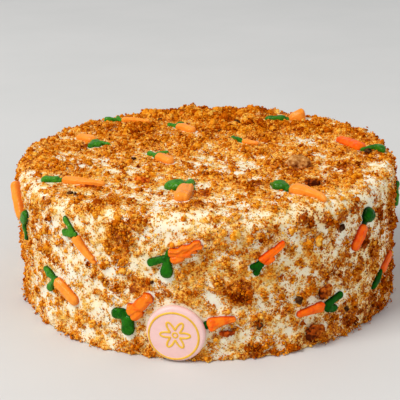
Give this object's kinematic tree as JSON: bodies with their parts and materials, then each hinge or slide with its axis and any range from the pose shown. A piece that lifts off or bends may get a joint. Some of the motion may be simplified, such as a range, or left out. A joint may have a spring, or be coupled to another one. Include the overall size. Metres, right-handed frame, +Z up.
{
  "type": "carrot cake",
  "caption": "Round uncut carrot cake in cream frosting rolled in crumbs, with piped icing carrots on top and side and a round sugar medallion at its foot.",
  "frame": {"origin": "centre of the flat underside", "axes": "+Z up out of the top of the cake, -Y towards the front where the medallion is, +X to the right seen from the front"},
  "size_m": [0.2457, 0.2478, 0.0903],
  "materials": {
    "crumbed_frosting": "matte, cream frosting covered in golden crumbs",
    "orange_icing": "soft gloss",
    "green_icing": "gloss",
    "sugar_medallion": "soft gloss"
  },
  "bodies": {
    "root": {"frosted_cake": "crumbed_frosting", "leaf_side_01": "green_icing", "leaf_side_02": "green_icing", "leaf_side_03": "green_icing", "leaf_side_04": "green_icing", "leaf_side_05": "green_icing", "leaf_side_06": "green_icing", "leaf_side_07": "green_icing", "leaf_side_08": "green_icing", "leaf_side_09": "green_icing", "leaf_side_10": "green_icing", "leaf_side_11": "green_icing", "leaf_side_12": "green_icing", "leaf_side_13": "green_icing", "leaf_side_14": "green_icing", "leaf_side_15": "green_icing", "leaf_side_16": "green_icing", "leaf_side_17": "green_icing", "leaf_side_18": "green_icing", "leaf_side_19": "green_icing", "leaf_top_01": "green_icing", "leaf_top_02": "green_icing", "leaf_top_03": "green_icing", "leaf_top_04": "green_icing", "leaf_top_05": "green_icing", "leaf_top_06": "green_icing", "leaf_top_07": "green_icing", "leaf_top_08": "green_icing", "leaf_top_09": "green_icing", "leaf_top_10": "green_icing", "medallion": "sugar_medallion", "root_side_01": "orange_icing", "root_side_02": "orange_icing", "root_side_03": "orange_icing", "root_side_04": "orange_icing", "root_side_05": "orange_icing", "root_side_06": "orange_icing", "root_side_07": "orange_icing", "root_side_08": "orange_icing", "root_side_09": "orange_icing", "root_side_10": "orange_icing", "root_side_11": "orange_icing", "root_side_12": "orange_icing", "root_side_13": "orange_icing", "root_side_14": "orange_icing", "root_side_15": "orange_icing", "root_side_16": "orange_icing", "root_side_17": "orange_icing", "root_side_18": "orange_icing", "root_side_19": "orange_icing", "root_top_01": "orange_icing", "root_top_02": "orange_icing", "root_top_03": "orange_icing", "root_top_04": "orange_icing", "root_top_05": "orange_icing", "root_top_06": "orange_icing", "root_top_07": "orange_icing", "root_top_08": "orange_icing", "root_top_09": "orange_icing", "root_top_10": "orange_icing"}
  },
  "joints": []
}
